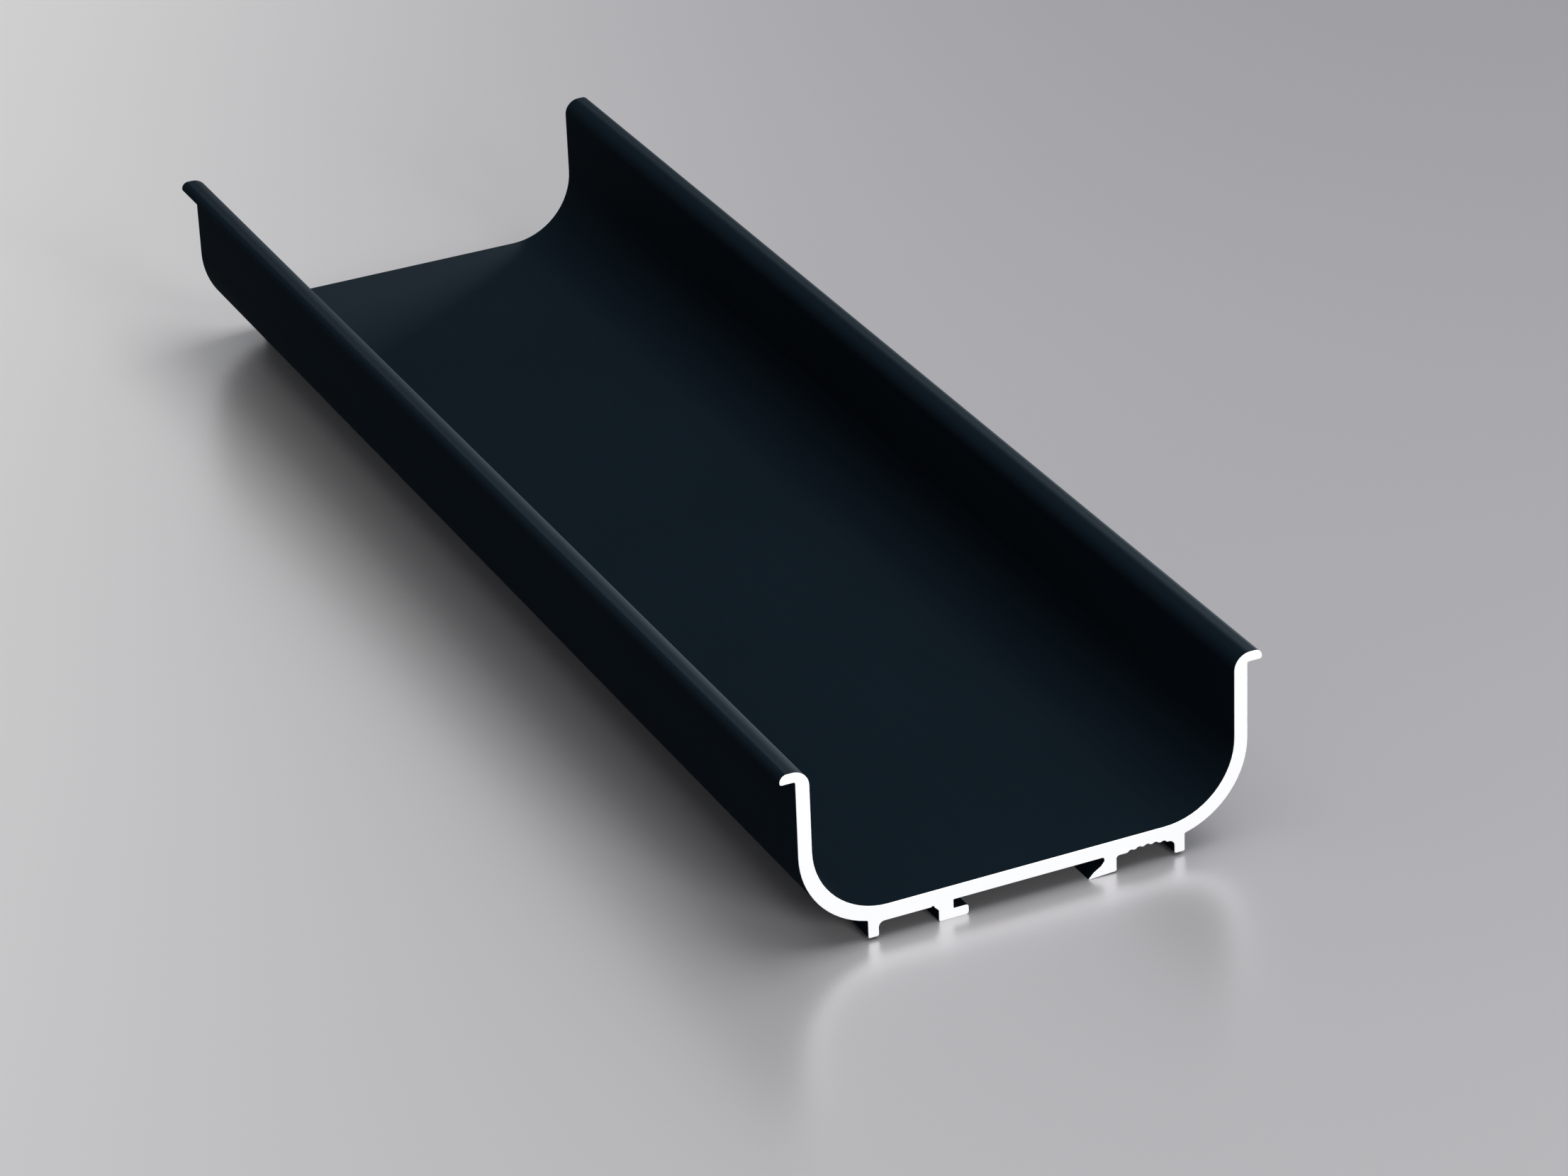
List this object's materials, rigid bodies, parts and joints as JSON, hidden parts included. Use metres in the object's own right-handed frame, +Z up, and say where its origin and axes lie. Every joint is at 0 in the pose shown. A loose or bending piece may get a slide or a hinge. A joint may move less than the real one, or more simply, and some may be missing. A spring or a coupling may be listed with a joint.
{
  "type": "handleless finger pull profile",
  "caption": "Length of C-shaped aluminium profile with rolled lips, legs and clip hooks on its back, set between cabinet fronts as a finger space in place of handles.",
  "frame": {"origin": "on the level the two hooks rest on, midway between the walls and at half the length", "axes": "+Y along the profile, +X across it towards the barbed hook's side, +Z up out of the open trough"},
  "size_m": [0.0734, 0.23, 0.029],
  "materials": {
    "coated_aluminium": "satin"
  },
  "bodies": {
    "root": {"finger_pull_profile": "coated_aluminium"}
  },
  "joints": []
}
